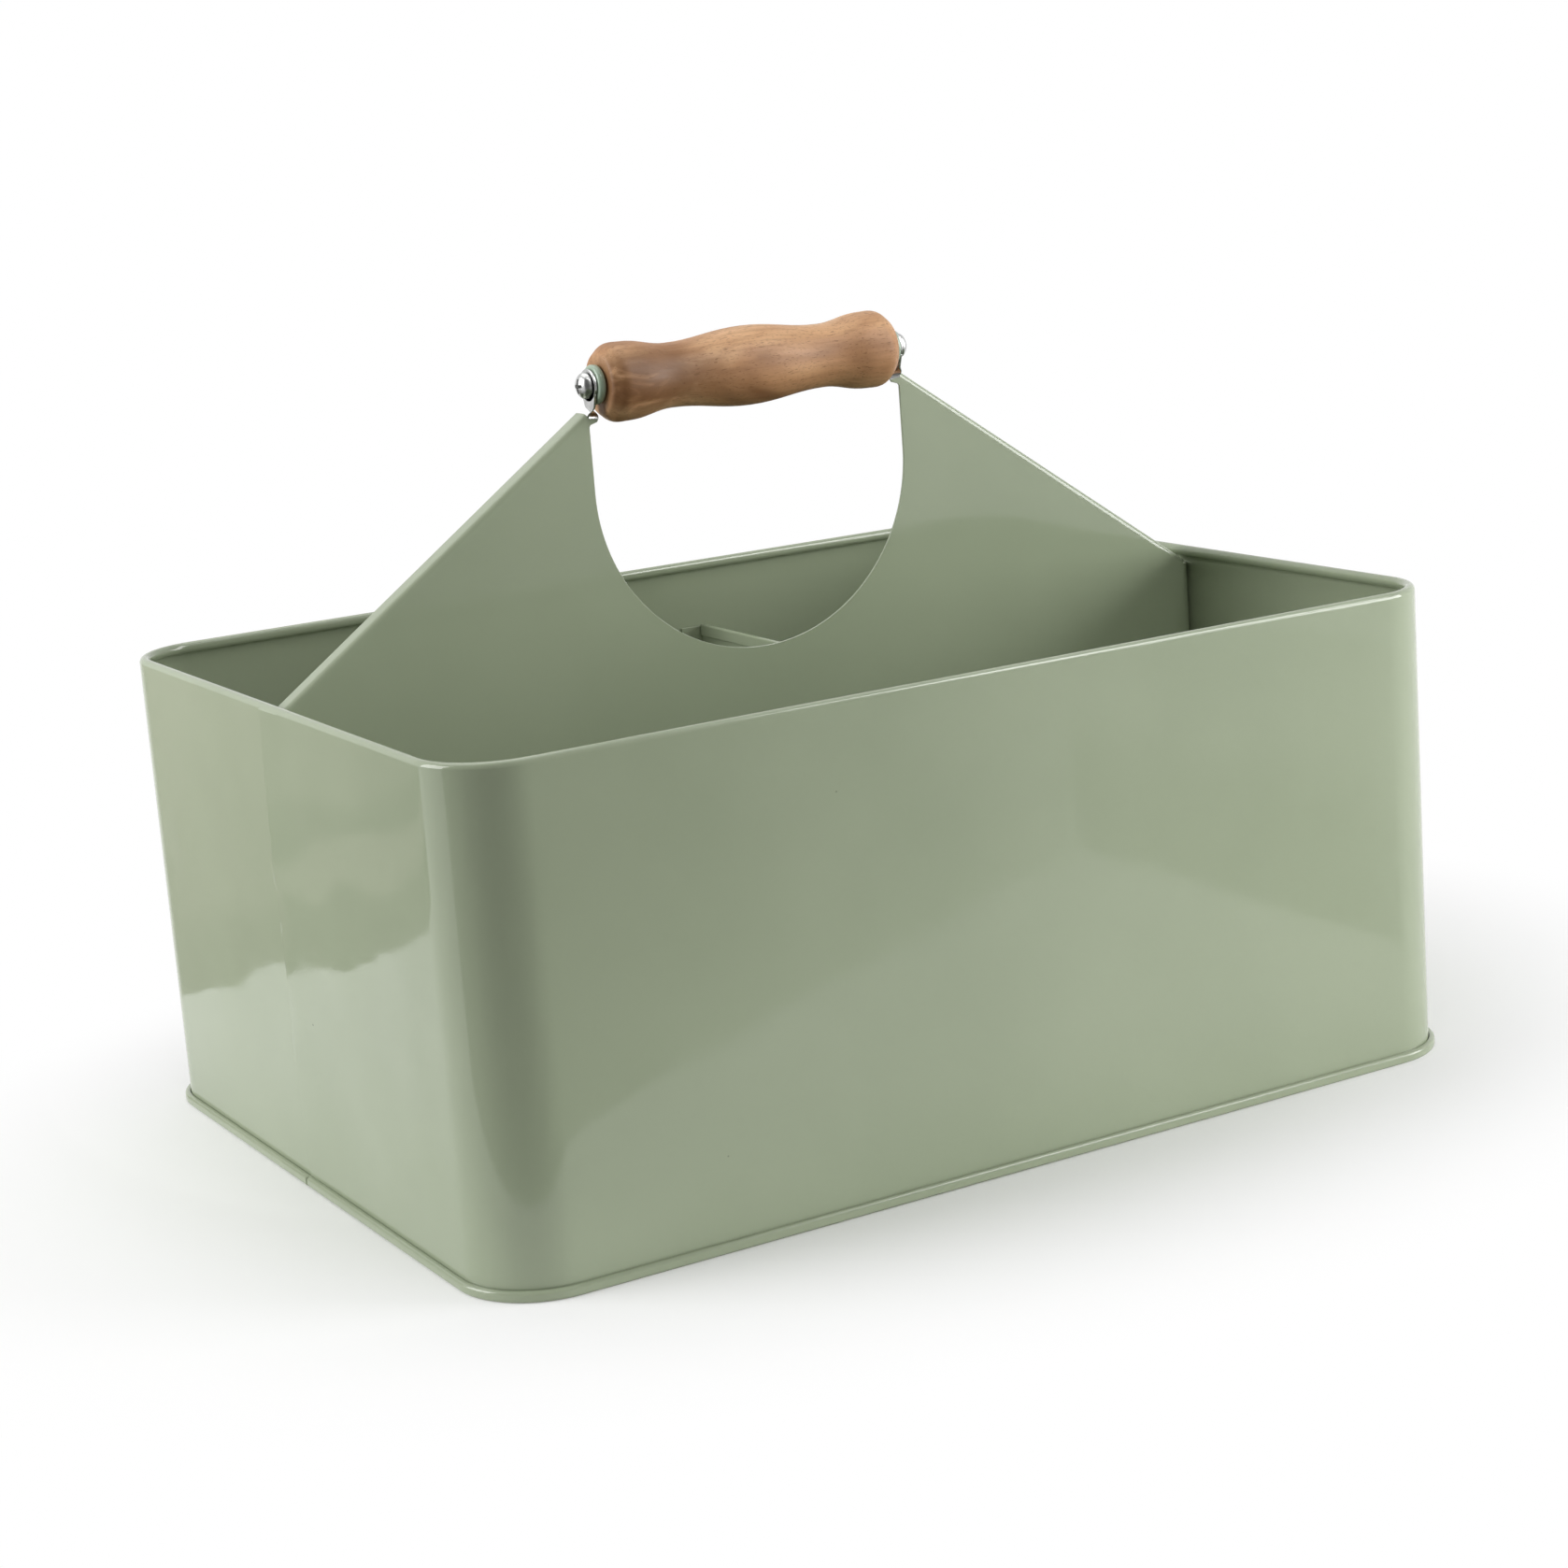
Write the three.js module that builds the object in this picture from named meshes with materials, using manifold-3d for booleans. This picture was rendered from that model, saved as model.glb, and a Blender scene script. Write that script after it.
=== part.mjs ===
// Divided sheet-metal caddy with a carrying plate and a turned wooden grip.
// Millimetres, +Z up, +X along the length, +Y to the back, origin on the ground under the middle.
import * as THREE from 'three';
import { ParametricGeometry } from 'three/addons/geometries/ParametricGeometry.js';
import { mergeVertices } from 'three/addons/utils/BufferGeometryUtils.js';
import Module from 'manifold-3d';

const wasm = await Module();
wasm.setup();

// Sheet and clearances
const SHEET = 0.6; // walls, floor and divider
const PLATE_SHEET = 0.9; // carrying plate
const GAP = 0.3; // clearance between neighbouring pieces
const BLEND = 0.02; // step between joined faces, so that no two of them coincide

// Box walls
const LENGTH = 380; // outside the end walls
const WIDTH = 290; // outside the long walls
const RIM_HEIGHT = 168; // ground to the top of the rim
const CORNER_RADIUS = 26.5; // outside, in plan
const CURL_RADIUS = 2; // outside of the rim's inward roll
const LAP_Y = 5; // where the sheet's outer end stops on the left end wall
const LAP_WIDTH = 24; // how far the outer end rises before it stops
const LAP_PROUD = 0.5; // how far the outer end stands out

// Floor and the seam that folds round the walls' foot
const FLOOR_TOP = 5; // ground to the inside of the floor
const SEAM_HEIGHT = 3.6;
const SEAM_OUT = 2.2; // how far the seam stands out of the walls
const SEAM_ROUND = 1.2; // rounding of the seam's outer edges
const SEAM_NOTCH = 2.4; // width of the notch where the lap meets the seam

// Grip, turned about its axis
const HANDLE_RISE = 90.2; // rim to the grip's axis
const GRIP_LENGTH = 115.4;
const GRIP_FLAT_RADIUS = 8.5; // flat end face
const GRIP_SHOULDER_RADIUS = 12.1;
const GRIP_SHOULDER_INSET = 2.1; // from the end to the shoulder above the flat
const GRIP_BULGE_RADIUS = 13.6;
const GRIP_BULGE_INSET = 9.5; // from the end to the thickest place of the bulge
const GRIP_WAIST_RADIUS = 11.2;
const GRIP_WAIST_INSET = 27;
const GRIP_BELLY_RADIUS = 13.9;

// Screws and washers at the grip's ends
const SHANK_RADIUS = 2;
const SHANK_LENGTH = 26;
const SHANK_POINT = 4; // length of the pointed end
const HEAD_RADIUS = 4.5;
const HEAD_HEIGHT = 3.6;
const HEAD_EDGE = 0.8; // straight side under the dome
const RECESS_LENGTH = 5;
const RECESS_WIDTH = 1.1;
const RECESS_DEPTH = 1.8;
const WASHER_RADIUS = 6.9;
const WASHER_THICKNESS = 2.9;
const WASHER_ROUND = 1.1;

// Carrying plate
const HOLE_DROP = 9.6; // rim down to the lowest point of the hand hole
const EAR_RADIUS = 5.6; // round ear that takes the screw
const EAR_INSET = 1.1; // hand hole's edge in to the middle of the ear's sheet
const NECK_RISE = 3; // plate's tip up to the ear
const NECK_ROOT = 5.6; // how far below the tip the neck leaves the hand hole's edge
const NECK_TWIST = 3.2; // how far below the tip the neck starts to turn
const NECK_WIDTH = 3.6; // where it starts to turn
const EDGE_DEPTH = 7; // front of the plate to the back of its folded slanting edges
const EDGE_RADIUS = 2; // outside of the bend along those edges
const PLATE_FLANGE = 12; // flanges along the end walls
const FLANGE_CUT = 6; // how far those flanges stop short of the plate's foot and shoulder

// Cross divider behind the plate
const DIVIDER_X = 52;
const DIVIDER_DROP = 26; // rim down to the divider's top
const DIVIDER_HEM = 4.7; // height of the folded top edge
const DIVIDER_FLANGE = 10;

// Facet counts
const CORNER_STEPS = 8; // around each corner of the box
const ROLL_STEPS = 6; // half the facets of the rim's roll
const TWIST_STEPS = 12; // along an ear's neck
const ARC_STEPS = 2; // half the facets of a small arc
const HOLE_STEPS = 18; // half the facets of the hand hole
const GRIP_STEPS = 26; // along the grip
const ROUND_FACETS = 32; // around the grip
const SMALL_FACETS = 24; // around a screw or washer

// Places that follow from the sizes above
const FOOT_Z = SHEET + GAP;
const CURL_Z = RIM_HEIGHT - CURL_RADIUS;
const UNDER_CURL = RIM_HEIGHT - 2 * CURL_RADIUS;
const AXIS_Z = RIM_HEIGHT + HANDLE_RISE;
const GRIP_END = GRIP_LENGTH / 2;
const EAR_X = GRIP_END + WASHER_THICKNESS + 2 * GAP;
const HEAD_X = EAR_X + PLATE_SHEET + GAP;
const SHANK_CLEAR = SHANK_RADIUS + GAP;
const EAR_MIDDLE = EAR_X + PLATE_SHEET / 2;
const HOLE_RADIUS = EAR_MIDDLE + EAR_INSET;
const HOLE_Z = RIM_HEIGHT - HOLE_DROP + HOLE_RADIUS;
const TIP_Z = AXIS_Z - EAR_RADIUS - NECK_RISE;
const SHOULDER_X = LENGTH / 2 - 2 * CURL_RADIUS - GAP;
const SHOULDER_Z = UNDER_CURL - GAP;
const PLATE_END = LENGTH / 2 - SHEET - GAP;
const PLATE_FOOT = FLOOR_TOP + GAP;
const SLANT = Math.atan2(TIP_Z - SHOULDER_Z, SHOULDER_X - HOLE_RADIUS);
const EDGE_DROP = EDGE_RADIUS / Math.cos(SLANT);
const DIVIDER_TOP = RIM_HEIGHT - DIVIDER_DROP;

// Colours and finishes
const ENAMEL = { color: '#98a18a', roughness: 0.32, metalness: 0.1 };
const WASHER_PAINT = { color: '#8fa594', roughness: 0.32, metalness: 0.1 };
const WOOD = { color: '#a5754c', roughness: 0.6, metalness: 0 };
const ZINC = { color: '#c4c6c6', roughness: 0.3, metalness: 0.9 };

// Closed indexed mesh of a geometry, without its degenerate facets.
function closed(geometry) {
  const bare = geometry.clone();
  bare.deleteAttribute('normal');
  bare.deleteAttribute('uv');
  const merged = mergeVertices(bare);
  const index = merged.index.array;
  const kept = [];
  for (let i = 0; i < index.length; i += 3) {
    const [a, b, c] = [index[i], index[i + 1], index[i + 2]];
    if (a !== b && b !== c && c !== a) kept.push(a, b, c);
  }
  merged.setIndex(kept);
  return merged;
}

// Solid of a geometry, for joining and cutting.
function solidOf(geometry) {
  const mesh = closed(geometry);
  const vertProperties = new Float32Array(mesh.attributes.position.array);
  const triVerts = new Uint32Array(mesh.index.array);
  return new wasm.Manifold(new wasm.Mesh({ numProp: 3, vertProperties, triVerts }));
}

// Geometry of a solid.
function geometryOf(solid) {
  const { vertProperties, triVerts } = solid.getMesh();
  const geometry = new THREE.BufferGeometry();
  geometry.setAttribute('position', new THREE.BufferAttribute(vertProperties, 3));
  geometry.setIndex(new THREE.BufferAttribute(triVerts, 1));
  return geometry;
}

// Points of a path without repeats.
function outline(path, steps) {
  const same = 1e-6;
  return path.getPoints(steps).filter((p, i, all) => i === 0 || p.distanceTo(all[i - 1]) > same);
}

// Solid block between two corners.
function block(low, high) {
  const size = new THREE.Vector3().subVectors(high, low);
  const middle = new THREE.Vector3().addVectors(low, high).multiplyScalar(0.5);
  return solidOf(new THREE.BoxGeometry(size.x, size.y, size.z).translate(middle.x, middle.y, middle.z));
}

// Solid of a plan outline, standing from one height to another.
function standing(shape, low, high) {
  const options = { depth: high - low, bevelEnabled: false };
  return solidOf(new THREE.ExtrudeGeometry(shape, options).translate(0, 0, low));
}

// Plan place of one station of the walls' outline, moved inward by an inset.
function wallPoint(station, inset) {
  const corner = Math.floor(station / (CORNER_STEPS + 1));
  const turn = (station % (CORNER_STEPS + 1)) / CORNER_STEPS;
  const angle = (corner - 1 + turn) * Math.PI / 2;
  const sideX = corner < 2 ? 1 : -1;
  const sideY = corner === 1 || corner === 2 ? 1 : -1;
  const radius = CORNER_RADIUS - inset;
  const x = sideX * (LENGTH / 2 - CORNER_RADIUS) + radius * Math.cos(angle);
  const y = sideY * (WIDTH / 2 - CORNER_RADIUS) + radius * Math.sin(angle);
  return new THREE.Vector2(x, y);
}

const STATIONS = 4 * (CORNER_STEPS + 1);

// Plan outline of the walls, moved inward by an inset.
function wallShape(inset) {
  return new THREE.Shape(Array.from({ length: STATIONS }, (_, station) => wallPoint(station, inset)));
}

// Section of inset and height, carried once round the walls' outline.
function roundTheWalls(section) {
  const place = (u, v, target) => {
    const { x: inset, y: z } = section[Math.round(v * section.length) % section.length];
    const { x, y } = wallPoint(Math.round(u * STATIONS) % STATIONS, inset);
    target.set(x, y, z);
  };
  return solidOf(new ParametricGeometry(place, STATIONS, section.length));
}

// Adds a rolled edge to a path that comes up the outer face at the roll's middle height.
function addRoll(path, across, height, radius, thickness) {
  path.absarc(across + radius, height, radius, Math.PI, -Math.PI / 2, true);
  path.absarc(across + radius, height, radius - thickness, -Math.PI / 2, Math.PI, false);
}

// One sheet round all four sides, rolled inward at the rim and lapped on the left end.
function makeWalls() {
  const section = new THREE.Path();
  section.moveTo(0, FOOT_Z);
  section.lineTo(0, CURL_Z);
  addRoll(section, 0, CURL_Z, CURL_RADIUS, SHEET);
  section.lineTo(SHEET, FOOT_Z);
  const outside = -LENGTH / 2;
  const lap = new THREE.Shape();
  lap.moveTo(outside + SHEET / 2, LAP_Y);
  lap.lineTo(outside - LAP_PROUD, LAP_Y);
  lap.lineTo(outside + BLEND, LAP_Y - LAP_WIDTH);
  lap.lineTo(outside + SHEET / 2, LAP_Y - LAP_WIDTH);
  return roundTheWalls(outline(section, ROLL_STEPS)).add(standing(lap, SEAM_HEIGHT + GAP, CURL_Z));
}

// Floor sheet whose edge folds down, under the walls' foot and up outside it as the seam.
function makeFloor() {
  const inner = SHEET + GAP;
  const section = new THREE.Path();
  section.moveTo(-SEAM_OUT, SEAM_ROUND);
  section.lineTo(-SEAM_OUT, SEAM_HEIGHT - SEAM_ROUND);
  section.absarc(-SEAM_OUT + SEAM_ROUND, SEAM_HEIGHT - SEAM_ROUND, SEAM_ROUND, Math.PI, Math.PI / 2, true);
  section.lineTo(-GAP, SEAM_HEIGHT);
  section.lineTo(-GAP, SHEET);
  section.lineTo(inner, SHEET);
  section.lineTo(inner, FLOOR_TOP);
  section.lineTo(inner + SHEET, FLOOR_TOP);
  section.lineTo(inner + SHEET, 0);
  section.lineTo(-SEAM_OUT + SEAM_ROUND, 0);
  section.absarc(-SEAM_OUT + SEAM_ROUND, SEAM_ROUND, SEAM_ROUND, -Math.PI / 2, Math.PI, true);
  const edge = outline(section, ARC_STEPS);
  edge.pop();
  const panel = standing(wallShape(inner + SHEET / 2), FLOOR_TOP - SHEET, FLOOR_TOP);
  const notch = block(
    new THREE.Vector3(-LENGTH / 2 - 2 * SEAM_OUT, LAP_Y - SEAM_NOTCH, SEAM_HEIGHT / 2),
    new THREE.Vector3(-LENGTH / 2 - SEAM_OUT + SHEET, LAP_Y, SEAM_HEIGHT + GAP),
  );
  return roundTheWalls(edge).add(panel).subtract(notch);
}

// Folded edge of one slanting side, from the tip to the shoulder, on the right.
function makeEdge() {
  const face = PLATE_SHEET / 2 + BLEND;
  const bend = EDGE_RADIUS - face;
  const back = EDGE_DEPTH - PLATE_SHEET / 2;
  const section = new THREE.Shape();
  section.moveTo(-face, -EDGE_RADIUS - PLATE_SHEET);
  section.lineTo(-face, -EDGE_RADIUS);
  section.absarc(bend, -EDGE_RADIUS, EDGE_RADIUS, Math.PI, Math.PI / 2, true);
  section.lineTo(back, 0);
  section.lineTo(back, -2 * face);
  section.absarc(bend, -EDGE_RADIUS, EDGE_RADIUS - 2 * face, Math.PI / 2, Math.PI, false);
  section.lineTo(face, -EDGE_RADIUS - PLATE_SHEET);
  const run = Math.hypot(SHOULDER_X - HOLE_RADIUS, TIP_Z - SHOULDER_Z);
  const spare = 2 * EDGE_DEPTH;
  const options = { depth: run + 2 * spare, bevelEnabled: false, curveSegments: ROLL_STEPS };
  const along = new THREE.Vector3(Math.cos(SLANT), 0, -Math.sin(SLANT));
  const away = new THREE.Vector3(Math.sin(SLANT), 0, Math.cos(SLANT));
  const start = new THREE.Vector3(HOLE_RADIUS, 0, TIP_Z).addScaledVector(along, -spare);
  const turn = new THREE.Matrix4().makeBasis(new THREE.Vector3(0, 1, 0), away, along).setPosition(start);
  const edge = solidOf(new THREE.ExtrudeGeometry(section, options).applyMatrix4(turn));
  const kept = block(
    new THREE.Vector3(HOLE_RADIUS + BLEND, -PLATE_SHEET, 0),
    new THREE.Vector3(SHOULDER_X, 2 * EDGE_DEPTH, AXIS_Z),
  );
  return edge.intersect(kept);
}

// Neck that rises from the hand hole's edge and turns a quarter into one ear, on the right.
function makeNeck() {
  const low = TIP_Z - NECK_TWIST - PLATE_SHEET / 2;
  const turned = AXIS_Z - WASHER_RADIUS - GAP;
  const high = AXIS_Z - EAR_RADIUS / 2;
  const chord = EAR_RADIUS * Math.sqrt(3); // across the ear at that height
  const strip = new THREE.BoxGeometry(1, PLATE_SHEET - 2 * BLEND, high - low, 1, 1, TWIST_STEPS);
  strip.translate(0, 0, (low + high) / 2);
  const places = strip.attributes.position;
  const at = new THREE.Vector3();
  for (let i = 0; i < places.count; i += 1) {
    at.fromBufferAttribute(places, i);
    const part = THREE.MathUtils.smoothstep(at.z, low, turned);
    const grown = (at.z - low) / (high - low);
    const middle = THREE.MathUtils.lerp(HOLE_RADIUS - NECK_WIDTH / 2, EAR_MIDDLE, part);
    at.x *= THREE.MathUtils.lerp(NECK_WIDTH - 2 * BLEND, chord, grown);
    at.applyAxisAngle(new THREE.Vector3(0, 0, -1), part * Math.PI / 2);
    places.setXYZ(i, middle + at.x, at.y, at.z);
  }
  return solidOf(strip);
}

// Round ear for the screw at one tip, with its neck, on the right.
function makeEar() {
  const round = new THREE.CylinderGeometry(EAR_RADIUS, EAR_RADIUS, PLATE_SHEET, SMALL_FACETS);
  const hole = new THREE.CylinderGeometry(SHANK_CLEAR, SHANK_CLEAR, 3 * PLATE_SHEET, SMALL_FACETS);
  round.rotateZ(Math.PI / 2).translate(EAR_MIDDLE, 0, AXIS_Z);
  hole.rotateZ(Math.PI / 2).translate(EAR_MIDDLE, 0, AXIS_Z);
  return solidOf(round).add(makeNeck()).subtract(solidOf(hole));
}

// Flange folded back along one end wall, on the right.
function makePlateFlange() {
  return block(
    new THREE.Vector3(PLATE_END - PLATE_SHEET, BLEND - PLATE_SHEET / 2, PLATE_FOOT + FLANGE_CUT),
    new THREE.Vector3(PLATE_END, PLATE_FLANGE, SHOULDER_Z - EDGE_DROP - FLANGE_CUT),
  );
}

// Carrying plate across the middle, with the hand hole, folded slanting edges and an ear at each tip.
function makePlate() {
  const end = PLATE_END - BLEND;
  const shoulder = SHOULDER_Z - EDGE_DROP;
  const neckX = HOLE_RADIUS - NECK_WIDTH;
  const neckZ = TIP_Z - NECK_TWIST;
  const web = new THREE.Shape();
  web.moveTo(-end, PLATE_FOOT);
  web.lineTo(end, PLATE_FOOT);
  web.lineTo(end, shoulder);
  web.lineTo(SHOULDER_X, shoulder);
  web.lineTo(HOLE_RADIUS, TIP_Z - EDGE_DROP);
  web.lineTo(HOLE_RADIUS, neckZ);
  web.lineTo(neckX, neckZ);
  web.lineTo(neckX, neckZ - PLATE_SHEET);
  web.lineTo(HOLE_RADIUS, TIP_Z - NECK_ROOT);
  web.lineTo(HOLE_RADIUS, HOLE_Z);
  web.absarc(0, HOLE_Z, HOLE_RADIUS, 0, Math.PI, true);
  web.lineTo(-HOLE_RADIUS, TIP_Z - NECK_ROOT);
  web.lineTo(-neckX, neckZ - PLATE_SHEET);
  web.lineTo(-neckX, neckZ);
  web.lineTo(-HOLE_RADIUS, neckZ);
  web.lineTo(-HOLE_RADIUS, TIP_Z - EDGE_DROP);
  web.lineTo(-SHOULDER_X, shoulder);
  web.lineTo(-end, shoulder);
  const options = { depth: PLATE_SHEET, bevelEnabled: false, curveSegments: HOLE_STEPS };
  const flat = new THREE.ExtrudeGeometry(web, options).rotateX(Math.PI / 2);
  flat.translate(0, PLATE_SHEET / 2, 0);
  const side = makeEdge().add(makeEar()).add(makePlateFlange());
  return solidOf(flat).add(side).add(side.mirror([1, 0, 0]));
}

// Cross divider from the plate to the back wall, with end flanges and a folded top edge.
function makeDivider() {
  const front = PLATE_SHEET / 2 + GAP;
  const back = WIDTH / 2 - SHEET - GAP;
  const right = DIVIDER_X + SHEET / 2;
  const left = DIVIDER_X - SHEET / 2;
  const plan = new THREE.Shape();
  plan.moveTo(right, front);
  plan.lineTo(right, back);
  plan.lineTo(right - DIVIDER_FLANGE, back);
  plan.lineTo(right - DIVIDER_FLANGE, back - SHEET);
  plan.lineTo(left, back - SHEET);
  plan.lineTo(left, front + SHEET);
  plan.lineTo(right - DIVIDER_FLANGE, front + SHEET);
  plan.lineTo(right - DIVIDER_FLANGE, front);
  const hem = block(
    new THREE.Vector3(left - SHEET, front + SHEET / 2, DIVIDER_TOP - DIVIDER_HEM),
    new THREE.Vector3(DIVIDER_X, back - SHEET / 2, DIVIDER_TOP),
  );
  return standing(plan, PLATE_FOOT, DIVIDER_TOP).add(hem);
}

// Turned grip about its own axis, with a pilot hole for a screw in each end.
function makeGrip() {
  const bottom = GRIP_END - (SHANK_LENGTH - (HEAD_X - GRIP_END)) - GAP;
  const end = new THREE.Vector2(GRIP_FLAT_RADIUS, GRIP_END);
  const shoulder = new THREE.Vector2(GRIP_SHOULDER_RADIUS, GRIP_END - GRIP_SHOULDER_INSET);
  const bulge = new THREE.Vector2(GRIP_BULGE_RADIUS, GRIP_END - GRIP_BULGE_INSET);
  const waist = new THREE.Vector2(GRIP_WAIST_RADIUS, GRIP_END - GRIP_WAIST_INSET);
  const belly = new THREE.Vector2(GRIP_BELLY_RADIUS, 0);
  const low = ({ x, y }) => new THREE.Vector2(x, -y);
  const half = [end, shoulder, bulge, waist];
  const around = new THREE.SplineCurve([...half.map(low), belly, ...half.toReversed()]);
  const profile = [
    new THREE.Vector2(0, -bottom),
    new THREE.Vector2(SHANK_CLEAR, -bottom),
    new THREE.Vector2(SHANK_CLEAR, -GRIP_END),
    ...around.getPoints(GRIP_STEPS),
    new THREE.Vector2(SHANK_CLEAR, GRIP_END),
    new THREE.Vector2(SHANK_CLEAR, bottom),
    new THREE.Vector2(0, bottom),
  ];
  return closed(new THREE.LatheGeometry(profile, ROUND_FACETS).rotateZ(-Math.PI / 2));
}

// Round washer with soft edges, from its inner face outward along +X.
function makeWasher() {
  const rim = WASHER_RADIUS - WASHER_ROUND;
  const section = new THREE.Path();
  section.moveTo(SHANK_CLEAR, 0);
  section.lineTo(rim, 0);
  section.absarc(rim, WASHER_ROUND, WASHER_ROUND, -Math.PI / 2, 0, false);
  section.absarc(rim, WASHER_THICKNESS - WASHER_ROUND, WASHER_ROUND, 0, Math.PI / 2, false);
  section.lineTo(SHANK_CLEAR, WASHER_THICKNESS);
  section.lineTo(SHANK_CLEAR, 0);
  return closed(new THREE.LatheGeometry(outline(section, ARC_STEPS), SMALL_FACETS).rotateZ(-Math.PI / 2));
}

// Round-headed screw with a cross recess, its head outward along +X from its seat.
function makeScrew() {
  const section = new THREE.Path();
  section.moveTo(0, -SHANK_LENGTH);
  section.lineTo(SHANK_RADIUS, SHANK_POINT - SHANK_LENGTH);
  section.lineTo(SHANK_RADIUS, 0);
  section.lineTo(HEAD_RADIUS, 0);
  section.lineTo(HEAD_RADIUS, HEAD_EDGE);
  section.absellipse(0, HEAD_EDGE, HEAD_RADIUS, HEAD_HEIGHT - HEAD_EDGE, 0, Math.PI / 2, false);
  const points = outline(section, 2 * ARC_STEPS);
  points.at(-1).x = 0;
  const body = solidOf(new THREE.LatheGeometry(points, SMALL_FACETS).rotateZ(-Math.PI / 2));
  const slot = (across, up) => block(
    new THREE.Vector3(HEAD_HEIGHT - RECESS_DEPTH, -across / 2, -up / 2),
    new THREE.Vector3(HEAD_HEIGHT + GAP, across / 2, up / 2),
  );
  const recess = slot(RECESS_LENGTH, RECESS_WIDTH).add(slot(RECESS_WIDTH, RECESS_LENGTH));
  return geometryOf(body.subtract(recess));
}

// Named mesh with a finish of its own.
function piece(name, geometry, finish) {
  const mesh = new THREE.Mesh(geometry, new THREE.MeshStandardMaterial(finish));
  mesh.name = name;
  return mesh;
}

const box = new THREE.Group();
box.add(piece('wall_wrap', geometryOf(makeWalls()), ENAMEL));
box.add(piece('floor_panel', geometryOf(makeFloor()), ENAMEL));
box.add(piece('carrying_plate', geometryOf(makePlate()), ENAMEL));
box.add(piece('cross_divider', geometryOf(makeDivider()), ENAMEL));

const handle = new THREE.Group();
handle.position.z = AXIS_Z;
handle.add(piece('grip', makeGrip(), WOOD));
for (const [side, turn] of [['right', 0], ['left', Math.PI]]) {
  const washer = piece(`washer_${side}`, makeWasher(), WASHER_PAINT);
  washer.position.x = GRIP_END + GAP;
  const screw = piece(`screw_${side}`, makeScrew(), ZINC);
  screw.position.x = HEAD_X;
  const fitting = new THREE.Group();
  fitting.rotation.z = turn;
  fitting.add(washer, screw);
  handle.add(fitting);
}

const caddy = new THREE.Group();
caddy.add(box, handle);

export default caddy;
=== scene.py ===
"""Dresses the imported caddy: folded sheet pieces, turned grip, fittings, studio and camera."""
import logging
import math
from dataclasses import dataclass
from enum import Enum
from typing import Iterable, Sequence

import bmesh
import bpy
from mathutils import Matrix, Vector, geometry, noise


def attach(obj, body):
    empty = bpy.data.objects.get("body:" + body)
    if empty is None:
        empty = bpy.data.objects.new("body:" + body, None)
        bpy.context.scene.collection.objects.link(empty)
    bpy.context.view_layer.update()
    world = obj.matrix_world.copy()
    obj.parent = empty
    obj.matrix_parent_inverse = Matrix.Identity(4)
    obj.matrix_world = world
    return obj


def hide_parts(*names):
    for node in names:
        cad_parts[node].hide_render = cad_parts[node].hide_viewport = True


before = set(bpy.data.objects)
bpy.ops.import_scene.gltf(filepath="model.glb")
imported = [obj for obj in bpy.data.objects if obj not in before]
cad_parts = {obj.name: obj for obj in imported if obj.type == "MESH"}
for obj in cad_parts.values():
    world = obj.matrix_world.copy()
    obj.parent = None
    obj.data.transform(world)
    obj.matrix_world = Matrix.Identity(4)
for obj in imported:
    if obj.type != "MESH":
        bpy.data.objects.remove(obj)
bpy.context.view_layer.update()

MM = 0.001
LOG = logging.getLogger("caddy")

Span = tuple[float, float]
Place = tuple[float, float, float]
Colour = tuple[float, float, float, float]
Socket = bpy.types.NodeSocket
Given = Socket | Sequence[float] | float | None
Vert = bmesh.types.BMVert
Edge = bmesh.types.BMEdge
Material = bpy.types.Material
Piece = bpy.types.Object


class Axis(Enum):
    """Direction of the part's frame."""

    X = (1.0, 0.0, 0.0)
    Y = (0.0, 1.0, 0.0)
    Z = (0.0, 0.0, 1.0)

    @property
    def vector(self) -> Vector:
        """Direction as a vector."""
        return Vector(self.value)


class Side(Enum):
    """End of the grip, by its direction along X."""

    LEFT = -1
    RIGHT = 1

    @property
    def word(self) -> str:
        """Side's name as it stands in a piece's name."""
        return self.name.lower()


class Body(Enum):
    """Body that a piece rides on."""

    BOX = "box"
    HANDLE = "handle"


def ease(part: float) -> float:
    """Smooth way from 0 to 1."""
    return part * part * (3 - 2 * part)


@dataclass(frozen=True)
class Pattern:
    """Noise laid over a piece, and what its levels give.

    Attributes:
        scale: Cells for each metre along each axis.
        detail: Finer layers added.
        bend: How far the noise is distorted.
        levels: Span of the noise that counts.
        gives: Values at the ends of that span.
        shift: Point, in metres, that is the pattern's origin.
        turn: Angle of the pattern about the upright, in degrees.
    """

    scale: Place
    detail: float = 2.0
    bend: float = 0.0
    levels: Span = (0.0, 1.0)
    gives: Span = (0.0, 1.0)
    shift: Place = (0.0, 0.0, 0.0)
    turn: float = 0.0


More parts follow.
